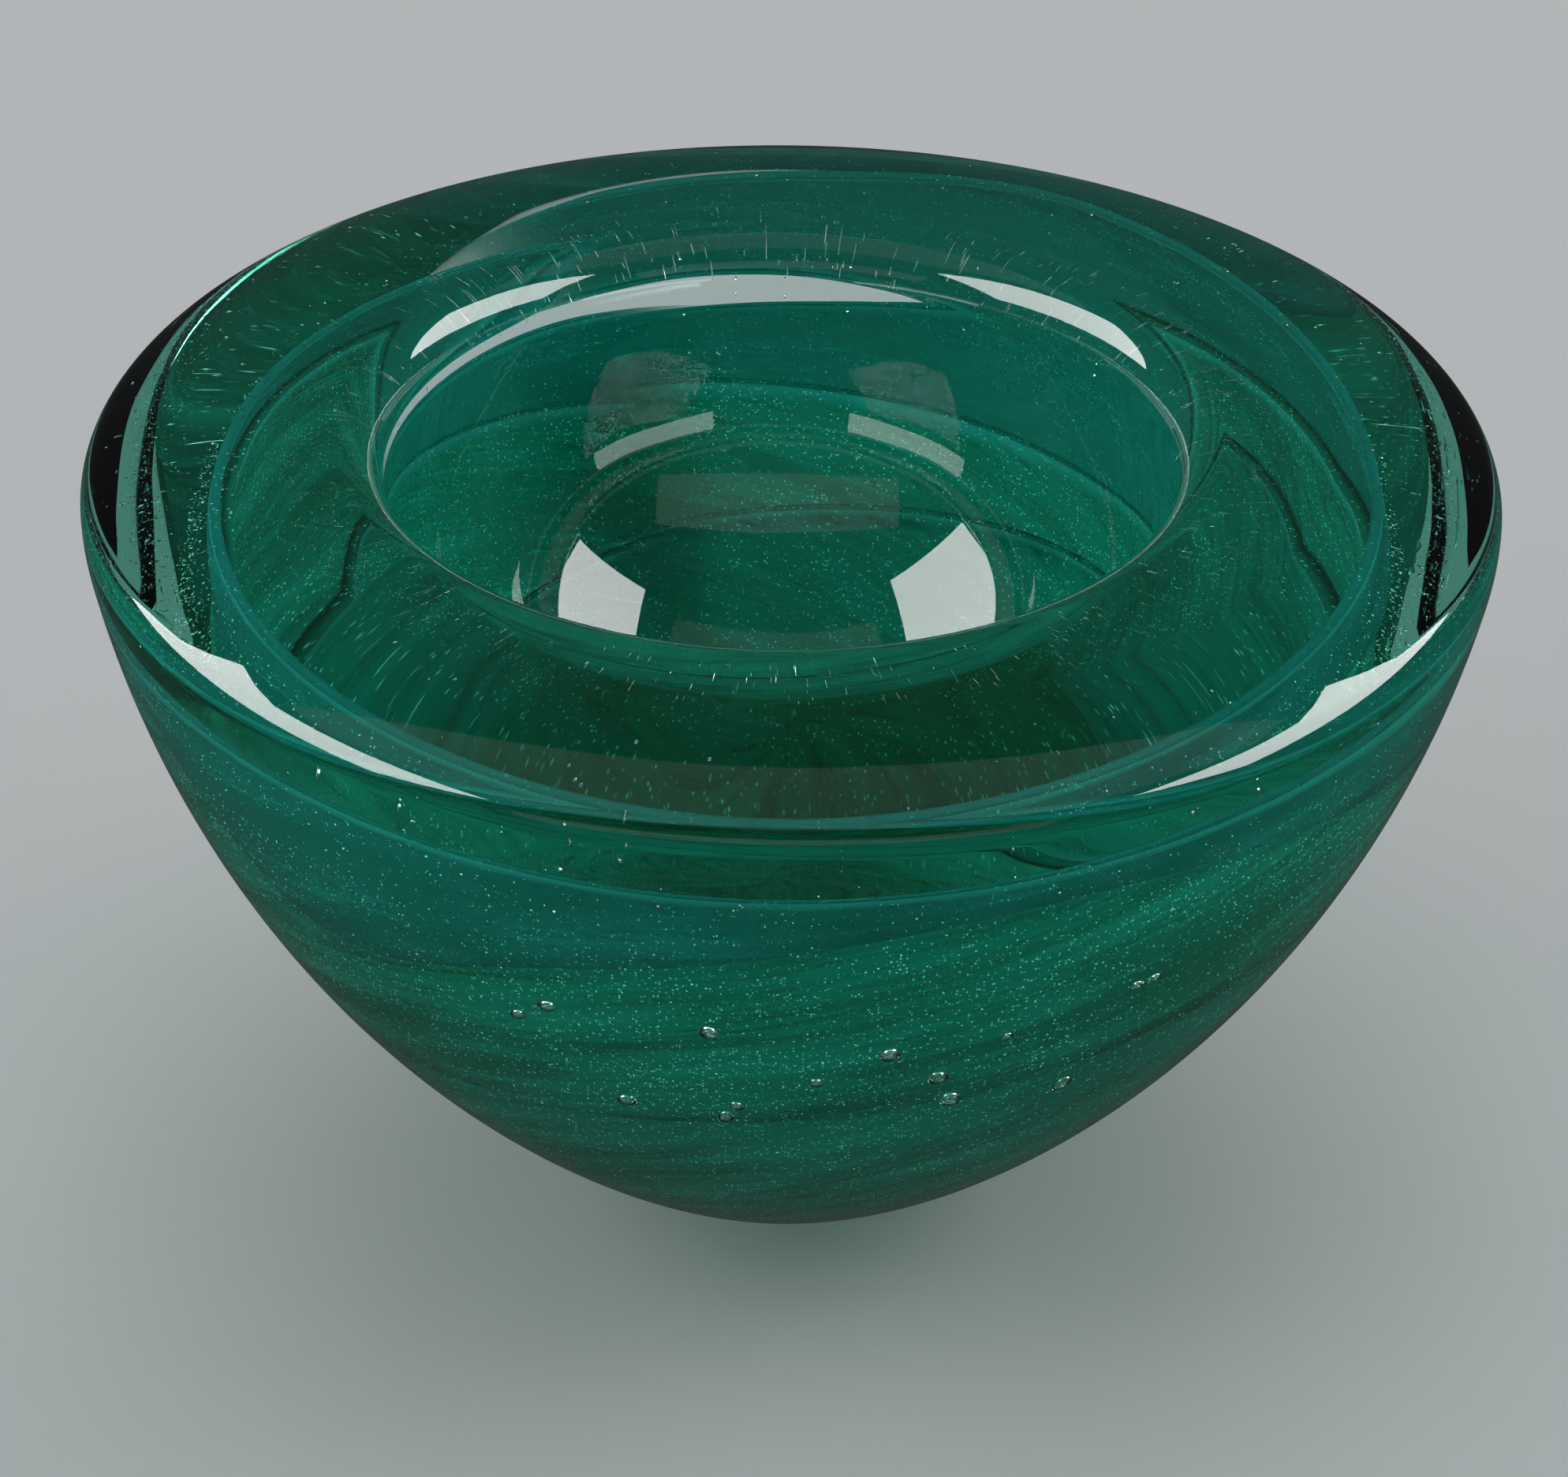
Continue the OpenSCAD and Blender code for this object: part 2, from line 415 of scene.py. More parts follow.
@dataclass(frozen=True)
class VeilGlass:
    """Powder-coloured glass rolled on in a thin coat: a cloudy green film that scatters light both
    ways, drawn out into streaks by the winding, with the dust of the powder showing as bright grains.

    Attributes:
        name: Name of the material.
        deep: Colour of the film where it is drawn thin and dark, and of the thin line of painted shade at the
            upper edge.
        pale: Colour of the film where the powder lies thick.
        through: Tint of the light that passes straight through.
        thin_cover: How much of the light the film stops where it is drawn thin.
        cover: How much it stops where the powder lies thick.
        lean: Rise of the streaks for each step along the winding.
        bead: Colour of the bead of powder along the upper edge.
        bead_mm: Width of the bead.
        bead_cover: How much more of the light the bead stops.
        grain: Colour of the bright grains.
        grain_rare: How rare the grains are, from 0.9, everywhere, to 1.2, few and only in the streaks.
        grain_mm: Size of the grains. The real dust is about 0.1 mm and is drawn coarser to show.
    """

    name: str
    deep: str
    pale: str
    through: str
    thin_cover: float
    cover: float
    lean: float
    bead: str = "1f8378"
    bead_mm: float = 0.9
    bead_cover: float = 0.2
    grain: str = "74dcc6"
    grain_rare: float = 0.98
    grain_mm: float = 0.24

    def build(self) -> bpy.types.Material:
        """Makes the material."""
        material, tree, where = new_material(self.name)
        sheet = add(tree, "ShaderNodeAttribute", {"attribute_name": "flow"}).outputs["Vector"]
        cloud = self._noise(tree, sheet, (0.12, 0.5), 3.5, 2.0)
        streak = self._noise(tree, sheet, (0.08, 1.0), 2.6, 3.0)
        thread = self._noise(tree, sheet, (0.05, 1.0), 0.7, 3.0)
        mixed = add(tree, "ShaderNodeMath", {"operation": "ADD"}, {0: cloud, 1: streak}).outputs[0]
        weighed = {"operation": "MULTIPLY_ADD", 1: 0.6}
        mixed = add(tree, "ShaderNodeMath", weighed, {0: thread, 2: mixed}).outputs[0]
        # Three noises of mean one half, of weights 1, 1 and 0.6, have a mean of 1.3.
        spread = add(
            tree, "ShaderNodeMapRange", {"From Min": 0.85, "From Max": 1.75}, {"Value": mixed}
        ).outputs[0]
        dust = self._dust(tree, where, spread)
        drop = add(tree, "ShaderNodeAttribute", {"attribute_name": "drop"}).outputs["Fac"]
        fade = add(tree, "ShaderNodeAttribute", {"attribute_name": "fade"}).outputs["Fac"]
        # The powder gathered in a bead along the upper edge. Right at the edge, a thin line of the deep
        # colour is painted shade: a dark line that stands in for the shade of the cut end.
        bead = add(
            tree,
            "ShaderNodeMapRange",
            {"From Min": self.bead_mm * MM, "From Max": 0.3 * self.bead_mm * MM},
            {"Value": drop},
        ).outputs[0]
        # end: share of the thin line of painted shade right at the upper edge, drawn in the deep colour.
        end = add(
            tree, "ShaderNodeMapRange", {"From Min": 0.24 * MM, "From Max": 0.16 * MM}, {"Value": drop}
        ).outputs[0]
        tones = {"data_type": "RGBA", 6: srgb(self.deep), 7: srgb(self.pale)}
        colour = add(tree, "ShaderNodeMix", tones, {0: spread}).outputs[2]
        # Over the streaks go the bead, the line of painted shade along the edge, and the grains.
        for share, code in ((bead, self.bead), (end, self.deep), (dust, self.grain)):
            over = {"data_type": "RGBA", 7: srgb(code)}
            colour = add(tree, "ShaderNodeMix", over, {0: share, 6: colour}).outputs[2]
        matt = {"Roughness": 0.6, "Specular IOR Level": 0.0}
        face = add(tree, "ShaderNodeBsdfPrincipled", matt, {"Base Color": colour})
        behind = add(tree, "ShaderNodeBsdfTranslucent", {}, {"Color": colour})
        powder = add(tree, "ShaderNodeMixShader", {0: 0.32}, {1: face.outputs[0], 2: behind.outputs[0]})
        tint = add(
            tree, "ShaderNodeMix", {"data_type": "RGBA", 6: srgb("ffffff"), 7: srgb(self.through)}, {0: fade}
        ).outputs[2]
        gap = add(tree, "ShaderNodeBsdfTransparent", {}, {"Color": tint})
        cover = add(
            tree,
            "ShaderNodeMapRange",
            {"To Min": self.thin_cover, "To Max": self.cover},
            {"Value": spread},
        ).outputs[0]
        stopped = add(tree, "ShaderNodeMath", {"operation": "MAXIMUM"}, {0: cover, 1: dust}).outputs[0]
        stopped = add(
            tree,
            "ShaderNodeMath",
            {"operation": "MULTIPLY_ADD", 1: self.bead_cover, "use_clamp": True},
            {0: bead, 2: stopped},
        ).outputs[0]
        stopped = add(tree, "ShaderNodeMath", {"operation": "MULTIPLY"}, {0: stopped, 1: fade}).outputs[0]
        veil = add(
            tree, "ShaderNodeMixShader", {}, {0: stopped, 1: gap.outputs[0], 2: powder.outputs[0]}
        )
        add(tree, "ShaderNodeOutputMaterial", {}, {"Surface": veil.outputs[0]})
        return material

    def _noise(
        self,
        tree: bpy.types.NodeTree,
        sheet: bpy.types.NodeSocket,
        stretch: tuple[float, float],
        size_mm: float,
        detail: float,
    ) -> bpy.types.NodeSocket:
        """Noise on the unrolled sheet, drawn out along the leaning direction of the winding.

        Args:
            tree: Node tree of the material.
            sheet: Place on the unrolled sheet.
            stretch: Scale along the streaks and across them.
            size_mm: Size of the features across the streaks.
            detail: Number of finer octaves.

        Returns:
            The noise, from 0 to 1.
        """
        # A mapping scales before it turns, so the turn comes first in a mapping of its own.
        turn = (0.0, 0.0, -float(np.arctan(self.lean)))
        turned = add(tree, "ShaderNodeMapping", {"Rotation": turn}, {"Vector": sheet})
        laid = add(tree, "ShaderNodeMapping", {"Scale": (*stretch, 1.0)}, {"Vector": turned.outputs[0]})
        noise = add(
            tree,
            "ShaderNodeTexNoise",
            {"Scale": pattern_scale(size_mm), "Detail": detail, "Roughness": 0.6, "Distortion": 0.5},
            {"Vector": laid.outputs[0]},
        )
        return noise.outputs[0]

    def _dust(
        self, tree: bpy.types.NodeTree, where: bpy.types.NodeSocket, spread: bpy.types.NodeSocket
    ) -> bpy.types.NodeSocket:
        """Bright grains: the middles of a few of the cells of a fine cell pattern, the more the thicker
        the powder lies.

        Args:
            tree: Node tree of the material.
            where: Place in the row frame.
            spread: How thick the powder lies, from 0 to 1.

        Returns:
            Where the grains are, from 0 to 1.
        """
        cells = add(
            tree,
            "ShaderNodeTexVoronoi",
            {"Scale": pattern_scale(self.grain_mm), "Randomness": 1.0},
            {"Vector": where},
        )
        lot = add(tree, "ShaderNodeSeparateColor", {}, {"Color": cells.outputs["Color"]}).outputs[0]
        luck = add(
            tree, "ShaderNodeMath", {"operation": "MULTIPLY_ADD", 1: 0.3}, {0: spread, 2: lot}
        ).outputs[0]
        picked = {"From Min": self.grain_rare, "From Max": self.grain_rare + 0.12}
        chosen = add(tree, "ShaderNodeMapRange", picked, {"Value": luck})
        middle = {"From Min": 0.5, "From Max": 0.2}
        near = add(tree, "ShaderNodeMapRange", middle, {"Value": cells.outputs["Distance"]})
        return add(
            tree, "ShaderNodeMath", {"operation": "MULTIPLY"}, {0: chosen.outputs[0], 1: near.outputs[0]}
        ).outputs[0]


@dataclass(frozen=True)
class DenseGlass:
    """Green glass that ran together into a lens: no film on its face, only colour through its depth.

    Attributes:
        name: Name of the material.
        tint: Colour that is left of white light after depth_mm.
        depth_mm: Length of the way that leaves that colour.
    """

    name: str
    tint: str
    depth_mm: float

    def build(self) -> bpy.types.Material:
        """Makes the material."""
        material, tree, where = new_material(self.name)
        fine = {"Scale": pattern_scale(5.0), "Detail": 3.0}
        cloud = add(tree, "ShaderNodeTexNoise", fine, {"Vector": where})
        shade = add(
            tree,
            "ShaderNodeMix",
            {"data_type": "RGBA", 6: srgb("eefbf6"), 7: srgb("d6f4ea")},
            {0: cloud.outputs[0]},
        ).outputs[2]
        face = add(tree, "ShaderNodeBsdfTransparent", {}, {"Color": shade})
        volume = absorption(tree, self.tint, self.depth_mm)
        add(tree, "ShaderNodeOutputMaterial", {}, {"Surface": face.outputs[0], "Volume": volume})
        return material


@dataclass(frozen=True)
class BubbleWall:
    """The wall of an air bubble inside glass: the same polished surface, met from the glass side, so
    light bends the other way and the rim of the bubble shines.

    Attributes:
        name: Name of the material.
    """

    name: str

    def build(self) -> bpy.types.Material:
        """Makes the material."""
        material, tree, where = new_material(self.name)
        haze = add(tree, "ShaderNodeTexNoise", {"Scale": pattern_scale(0.6)}, {"Vector": where})
        rough = add(
            tree, "ShaderNodeMapRange", {"To Min": 0.0, "To Max": 0.12}, {"Value": haze.outputs[0]}
        )
        wall = add(
            tree,
            "ShaderNodeBsdfPrincipled",
            {"Base Color": (1, 1, 1, 1), "IOR": 1.0 / GLASS_IOR, "Transmission Weight": 1.0},
            {"Roughness": rough.outputs[0]},
        )
        face = open_to_lamps(tree, wall, "ffffff")
        add(tree, "ShaderNodeOutputMaterial", {}, {"Surface": face})
        return material


@dataclass(frozen=True)
class GlitterFleck:
    """Flakes of the kind that make aventurine glass glitter: tiny bright plates with a metal shine.

    Attributes:
        name: Name of the material.
        colour: Colour of the plates.
    """

    name: str
    colour: str

    def build(self) -> bpy.types.Material:
        """Makes the material."""
        material, tree, where = new_material(self.name)
        lot = add(tree, "ShaderNodeTexNoise", {"Scale": pattern_scale(1.0)}, {"Vector": where})
        tone = add(
            tree,
            "ShaderNodeMix",
            {"data_type": "RGBA", 6: srgb(self.colour), 7: srgb("c4f6ea")},
            {0: lot.outputs[0]},
        ).outputs[2]
        plate = add(
            tree,
            "ShaderNodeBsdfPrincipled",
            {"Metallic": 0.5, "Roughness": 0.3},
            {"Base Color": tone},
        )
        add(tree, "ShaderNodeOutputMaterial", {}, {"Surface": plate.outputs[0]})
        return material


@dataclass(frozen=True)
class PaleFloor:
    """Matt seamless paper: plain and pale, with a tooth too fine to see.

    Attributes:
        name: Name of the material.
        colour: Colour of the paper.
    """

    name: str
    colour: str

    def build(self) -> bpy.types.Material:
        """Makes the material."""
        material, tree, where = new_material(self.name)
        tooth = add(tree, "ShaderNodeTexNoise", {"Scale": pattern_scale(0.8)}, {"Vector": where})
        bump = add(
            tree, "ShaderNodeBump", {"Strength": 0.1, "Distance": 0.0001}, {"Height": tooth.outputs[0]}
        )
        paper = add(
            tree,
            "ShaderNodeBsdfPrincipled",
            {"Base Color": srgb(self.colour), "Roughness": 0.9, "Specular IOR Level": 0.1},
            {"Normal": bump.outputs["Normal"]},
        )
        add(tree, "ShaderNodeOutputMaterial", {}, {"Surface": paper.outputs[0]})
        return material


class Slot(Enum):
    """The record's material slots that the pieces use."""

    CASING = "clear_casing_glass"
    TEAL = "teal_veil_glass"
    RIBBON = "green_ribbon_glass"
    DEEP = "deep_veil_glass"
    HEEL = "heel_glass"
    AIR = "trapped_air"


class Finish(Enum):
    """Every finish on the bowl."""

    CASING = ClearGlass("clear_crystal")
    TEAL = VeilGlass(
        "teal_powder_glass", "0a5a53", "12736a", "6cc4b4", 0.35, 0.7, 0.12, grain="5cc4b0", grain_rare=1.06
    )
    RIBBON = VeilGlass(
        "green_powder_glass", "045848", "0b8270", "6ccab2", 0.45, 0.75, 0.3, bead_mm=1.8, bead_cover=0.3
    )
    DEEP = VeilGlass("emerald_powder_glass", "045f50", "0a8272", "6ac8b0", 0.5, 0.8, 0.4, bead_cover=0.0)
    HEEL = DenseGlass("dense_emerald_glass", "b2e6de", 20.0)
    BUBBLE = BubbleWall("bubble_wall")
    GLITTER = GlitterFleck("aventurine_glitter", "5fd8bd")


def dress(piece: bpy.types.Object, finish: bpy.types.Material, slot: Slot, *nodes: str) -> None:
    """Gives a piece its finish and the body it rides on, hides the solids that it stands for, and logs its
    slot.

    Args:
        piece: The finished piece.
        finish: Its material.
        slot: The record's slot.
        *nodes: The solids that it stands for.
    """
    piece.data.materials.append(finish)
    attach(piece, "root")
    if nodes:
        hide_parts(*nodes)
    log.info("%s: %d faces, slot %s", piece.name, len(piece.data.polygons), slot.value)


# ---------------------------------------------------------------- the bowl's sections


@dataclass(frozen=True)
class BowlSection:
    """Half section of a bowl-shaped mass: a flat base, then a flank arc, a belly arc, a rim arc and a
    shallow crown, each tangent to the next.

    Attributes:
        widest_r: Largest radius.
        widest_z: Height of the widest ring.
        belly_r: Radius of the belly arc.
        belly_deg: Angle of the belly arc.
        base_r: Radius of the flat base.
        base_z: Height of the flat base.
        rim_r: Radius of the rim arc.
        rim_deg: Angle of the rim arc.
        crest_r: Radius at which the crown is highest.
    """

    widest_r: float
    widest_z: float
    belly_r: float
    belly_deg: float
    base_r: float
    base_z: float
    rim_r: float
    rim_deg: float
    crest_r: float

    @property
    def flank(self) -> tuple[Array, float]:
        """Centre and radius of the flank arc, which leaves the belly arc and meets the base's rim."""
        out = unit(-self.belly_deg)
        start = np.array([self.widest_r - self.belly_r, self.widest_z]) + self.belly_r * out
        way = np.array([self.base_r, self.base_z]) - start
        radius = -(way @ way) / (2.0 * (out @ way))
        return start - radius * out, radius

    @property
    def crown_r(self) -> float:
        """Radius of the crown arc, which is level at crest_r."""
        return self.rim_r + (self.widest_r - self.rim_r - self.crest_r) / unit(self.rim_deg)[0]

    @property
    def top_z(self) -> float:
        """Height of the crown's crest."""
        rise = (self.rim_r - self.crown_r) * unit(self.rim_deg)[1]
        return self.widest_z + rise + self.crown_r

    def wall(self, inset: float = 0.0) -> Array:
        """Points of the flank and belly, from the edge of the base to the widest ring.

        Args:
            inset: How far inside the section the points lie.

        Returns:
            Rows of (radius, height).
        """
        centre, radius = self.flank
        belly = np.array([self.widest_r - self.belly_r, self.widest_z])
        foot = np.degrees(np.arcsin((self.base_z + inset - centre[1]) / (radius - inset)))
        flank = arc(centre, radius - inset, foot, -self.belly_deg, 72)
        return np.concatenate([flank[:-1], arc(belly, self.belly_r - inset, -self.belly_deg, 0.0, 12)])

    def radius_at(self, height: Array) -> Array:
        """Radius of the wall at a height below the widest ring, read along its line."""
        wall = self.wall()
        return np.interp(height, wall[:, 1], wall[:, 0])

    def rim(self) -> Array:
        """Points of the rim arc and the crown, from the widest ring to the crest."""
        start = np.array([self.widest_r - self.rim_r, self.widest_z])
        crown = start + (self.rim_r - self.crown_r) * unit(self.rim_deg)
        edge = arc(start, self.rim_r, 0.0, self.rim_deg, 16)
        return np.concatenate([edge[1:-1], arc(crown, self.crown_r, self.rim_deg, 90.0, 20)])


@dataclass(frozen=True)
class WellSection:
    """Half section of the well: a soft lip, a short straight collar and a hemispherical floor.

    Attributes:
        radius: Radius of the collar and the floor.
        depth: Depth of the floor under the rim.
        lip_r: Radius of the soft lip.
        off: How far the well stands off the bowl's axis, towards -X.
    """

    radius: float = 32.0
    depth: float = 38.0
    lip_r: float = 4.0
    off: float = 1.1

    def points(self, top_z: float) -> Array:
        """Points from the outer side of the lip, over it and down to the middle of the floor.

        Args:
            top_z: Height of the rim.

        Returns:
            Rows of (radius, height).
        """
        lip = arc(np.array([self.radius + self.lip_r, top_z - self.lip_r]), self.lip_r, 90.0, 180.0, 20)
        centre = np.array([0.0, top_z - self.depth + self.radius])
        collar_top, collar_foot = lip[-1, 1], centre[1]
        fall = np.linspace(collar_top, collar_foot, 4)[1:-1]
        collar = np.stack([np.full(2, self.radius), fall], axis=1)
        return np.concatenate([lip, collar, arc(centre, self.radius, 0.0, -90.0, 56)])


# ---------------------------------------------------------------- sub-assemblies


@dataclass
class ClearBody:
    """The clear glass that the eye meets: the casing with its rim, and the wall of the well.

    Attributes:
        section: Half section of the outside.
        well: Half section of the well.
        foot_round: Radius of the ground edge of the base.
        columns: Number of points in a ring.
    """

    section: BowlSection
    well: WellSection = field(default_factory=WellSection)
    foot_round: float = 0.5
    columns: int = 288

    def outline(self) -> tuple[Array, Array]:
        """Works out the closed section from the middle of the base to the floor of the well.

        Returns:
            Rows of (radius, height), and how far each of them stands off the axis towards +X.
        """
        wall = self.section.wall()
        base_r = self.section.base_r
        foot = np.array([[0.0, 0.0], [base_r * 0.5, 0.0], [base_r - self.foot_round, 0.0]])
        wall = wall[wall[:, 1] > self.foot_round * 0.4]
        rim = self.section.rim()
        well = self.well.points(self.section.top_z)
        flat = np.linspace(rim[-1], well[0], 6)[1:-1]
        section = np.concatenate([foot, wall, rim, flat, well])
        shift = np.zeros(len(section))
        first = len(section) - len(well)
        shift[first:] = -self.well.off
        ramp = slice(first - len(flat), first)
        shift[ramp] = -self.well.off * np.linspace(0.2, 0.8, len(flat))
        section[-1, 0] = 0.0
        return section, shift

    def build(self) -> None:
        """Builds the body of clear glass and dresses it."""
        section, shift = self.outline()
        piece = turned_piece("clear_glass_body", section, self.columns, shift)
        dress(piece, Finish.CASING.value.build(), Slot.CASING, "outer_casing", "clear_gather", "well_gather")


@dataclass(frozen=True)
class Winding:
    """How the coloured coat is wound: like a scroll, whose two ends overlap at the back.

    Attributes:
        section: Half section of the veiled mass.
        edge_radius: Radius of the scroll at its top edge, by bearing.
        fade_low: Height below which the scroll keeps to the section.
        fade_high: Height above which it has its full radius.
    """

    section: BowlSection
    edge_radius: Knots = (
        (-172.0, 41.6), (-149.0, 44.0), (-126.0, 45.9), (-108.0, 46.9), (-93.0, 46.9), (-60.0, 47.4),
        (0.0, 47.5), (70.0, 47.2), (105.0, 47.9), (124.0, 49.7), (142.0, 52.2), (158.0, 54.6),
        (176.0, 54.6), (190.0, 54.0), (199.0, 52.8), (207.0, 50.6), (217.0, 47.6), (224.0, 46.2),
    )
    fade_low: float = 34.0
    fade_high: float = 56.0

    @property
    def start(self) -> float:
        """First bearing of the scroll."""
        return self.edge_radius[0][0]

    @property
    def end(self) -> float:
        """Last bearing of the scroll."""
        return self.edge_radius[-1][0]

    def spread(self, bearing: Array, height: Array) -> Array:
        """Radius of the scroll as a share of the section's: its share at the edge, fading to 1 lower
        down by an S-shaped step."""
        share = smooth_through(self.edge_radius, bearing) / self.section.widest_r
        return 1.0 + (share - 1.0) * smooth_step(self.fade_low, self.fade_high, height)


@dataclass
class VeilSheet:
    """One wrap of powder glass: a thin sheet that follows the winding of the veiled mass.

    Attributes:
        name: Name of the piece.
        node: The solid that it stands for.
        slot: The record's slot.
        finish: Its finish.
        winding: How it is wound.
        low: Height of its lower edge at a bearing, or None where it closes under the bowl.
        high: Height of its upper edge at a bearing.
        inset: How far inside the section the outer face of its last turn lies.
        coil: How much deeper its first turn lies.
        thick: Thickness.
        rows: Rows of the grid.
        columns: Columns of the grid.
    """

    name: str
    node: str
    slot: Slot
    finish: Finish
    winding: Winding
    low: Callable[[Array], Array] | None
    high: Callable[[Array], Array]
    inset: float = 0.0
    coil: float = 0.9
    thick: float = 0.7
    rows: int = 72
    columns: int = 320

    def line(self, inset: float) -> Array:
        """Section line of the sheet from near the axis upwards, with a short straight top."""
        wall = self.winding.section.wall(inset)
        foot = np.stack([np.linspace(0.02, wall[0, 0], 12)[:-1], np.full(11, wall[0, 1])], axis=1)
        return np.concatenate([foot, wall, np.linspace(wall[-1], wall[-1] + np.array([0.0, 6.0]), 8)[1:]])

    def face(self, inset: float) -> tuple[Array, Unrolled]:
        """Grid of one face of a sheet that keeps to one depth: along each column the way up the section
        line runs evenly from the lower edge to the upper edge, and the radius is the line's radius
        times the winding's share.

        Args:
            inset: How far inside the section the face lies.

        Returns:
            The grid, as rows, columns and coordinates, and the matching places on the unrolled sheet:
            40 mm for each radian, and the way up the line. The ends fade over 24 degrees.
        """
        line = self.line(inset)
        way = np.concatenate([[0.0], np.cumsum(np.hypot(*np.diff(line, axis=0).T))])
        rising = line[:, 1] + np.arange(len(line)) * 1e-9
        bearing = np.linspace(self.winding.start, self.winding.end, self.columns)
        top = np.interp(self.high(bearing), rising, way)
        foot = np.zeros_like(top) if self.low is None else np.interp(self.low(bearing), rising, way)
        along = foot + (top - foot) * np.linspace(0.0, 1.0, self.rows)[:, None]
        height = np.interp(along, way, line[:, 1])
        radius = np.interp(along, way, line[:, 0]) * self.winding.spread(bearing[None, :], height)
        flow = np.stack(np.broadcast_arrays(np.radians(bearing) * 40.0, along, 0.0), axis=-1)
        first, last = self.winding.start, self.winding.end
        fade = smooth_step(first, first + 24.0, bearing) * (1.0 - smooth_step(last - 24.0, last, bearing))
        unrolled = Unrolled(flow, top - along, np.broadcast_to(fade, along.shape))
        return around(radius, bearing[None, :], height), unrolled

    def coiled(self, inset: float) -> tuple[Array, Unrolled]:
        """Grid of one face, as an even blend along the winding from the deeper face to the nearer one."""
        turn = np.linspace(0.0, 1.0, self.columns)[None, :, None]
        deep, _ = self.face(inset + self.coil)
        near, unrolled = self.face(inset)
        return deep + (near - deep) * turn, unrolled

    def build(self) -> None:
        """Builds the sheet and dresses it."""
        outer, unrolled = self.coiled(self.inset)
        inner, _ = self.coiled(self.inset + self.thick)
        piece = shell_piece(self.name, outer, inner, unrolled)
        dress(piece, self.finish.value.build(), self.slot, self.node)


@dataclass
class Veils:
    """The sheets of coloured glass between the casing and the gathers.

    Attributes:
        winding: How they are wound.
        rim_edge: Height of the upper edge, by bearing along the scroll.
        ribbon_edge: Height of the joint between the upper sheet and the ribbon, by bearing: it falls
            steeply to its lowest point in front on the left, and climbs slowly towards the right.
        cup_edge: Height of the joint between the ribbon and the cup, by bearing.
    """

    winding: Winding
    rim_edge: Knots = (
        (-172.0, 59.4), (-149.0, 59.8), (-126.0, 58.8), (-95.0, 57.6), (-50.0, 57.0), (0.0, 56.3),
        (45.0, 57.4), (90.0, 57.8), (150.0, 57.3), (165.0, 56.0), (180.0, 55.3), (195.0, 55.5),
        (210.0, 57.0), (224.0, 58.5),
    )
    ribbon_edge: Knots = (
        (-172.0, 49.0), (-105.0, 54.5), (-78.0, 56.0), (-48.0, 43.5), (-20.0, 48.5), (25.0, 55.0),
        (75.0, 51.0), (130.0, 46.0), (224.0, 50.0),
    )
    cup_edge: Knots = (
        (-172.0, 37.0), (-140.0, 34.0), (-60.0, 29.0), (0.0, 33.0), (50.0, 38.0), (110.0, 39.0),
        (180.0, 37.0), (224.0, 35.0),
    )

    def sheets(self) -> list[VeilSheet]:
        """The three sheets, each overlapping the one below by a little on its outer side."""
        return [
            VeilSheet(
                "teal_upper_sheet", "upper_veil", Slot.TEAL, Finish.TEAL, self.winding,
                low=lambda bearing: smooth_through(self.ribbon_edge, bearing) - 1.0,
                high=lambda bearing: smooth_through(self.rim_edge, bearing),
            ),
            VeilSheet(
                "green_belly_ribbon", "middle_veil", Slot.RIBBON, Finish.RIBBON, self.winding,
                low=lambda bearing: smooth_through(self.cup_edge, bearing) - 2.0,
                high=lambda bearing: smooth_through(self.ribbon_edge, bearing), inset=0.9,
            ),
            VeilSheet(
                "emerald_cup", "lower_veil", Slot.DEEP, Finish.DEEP, self.winding, low=None,
                high=lambda bearing: smooth_through(self.cup_edge, bearing), inset=1.8,
            ),
        ]

    def build(self) -> None:
        """Builds the sheets."""
        for sheet in self.sheets():
            sheet.build()


@dataclass
class HeelPool:
    """The lens of dense green glass over the base.

    Attributes:
        section: Half section of the veiled mass.
        level: Height of its flat top.
        inset: How far it lies inside the section.
    """

    section: BowlSection
    level: float = 13.0
    inset: float = 2.9

    def build(self) -> None:
        """Builds the lens, with a gently hollowed top, and dresses it."""
        wall = self.section.wall(self.inset)
        wall = wall[wall[:, 1] < self.level]
        top = np.linspace(1.0, 0.0, 24)[:, None] * np.array([[wall[-1, 0], 0.0]])
        hollow = 1.2 * (1.0 - (top[:, 0] / wall[-1, 0]) ** 2)
        top = np.stack([top[:, 0], self.level - hollow], axis=1)
        foot = np.array([[0.0, wall[0, 1]], [wall[0, 0] * 0.5, wall[0, 1]]])
        piece = turned_piece("heel_lens", np.concatenate([foot, wall, top]), 192)
        dress(piece, Finish.HEEL.value.build(), Slot.HEEL, "heel_pool")


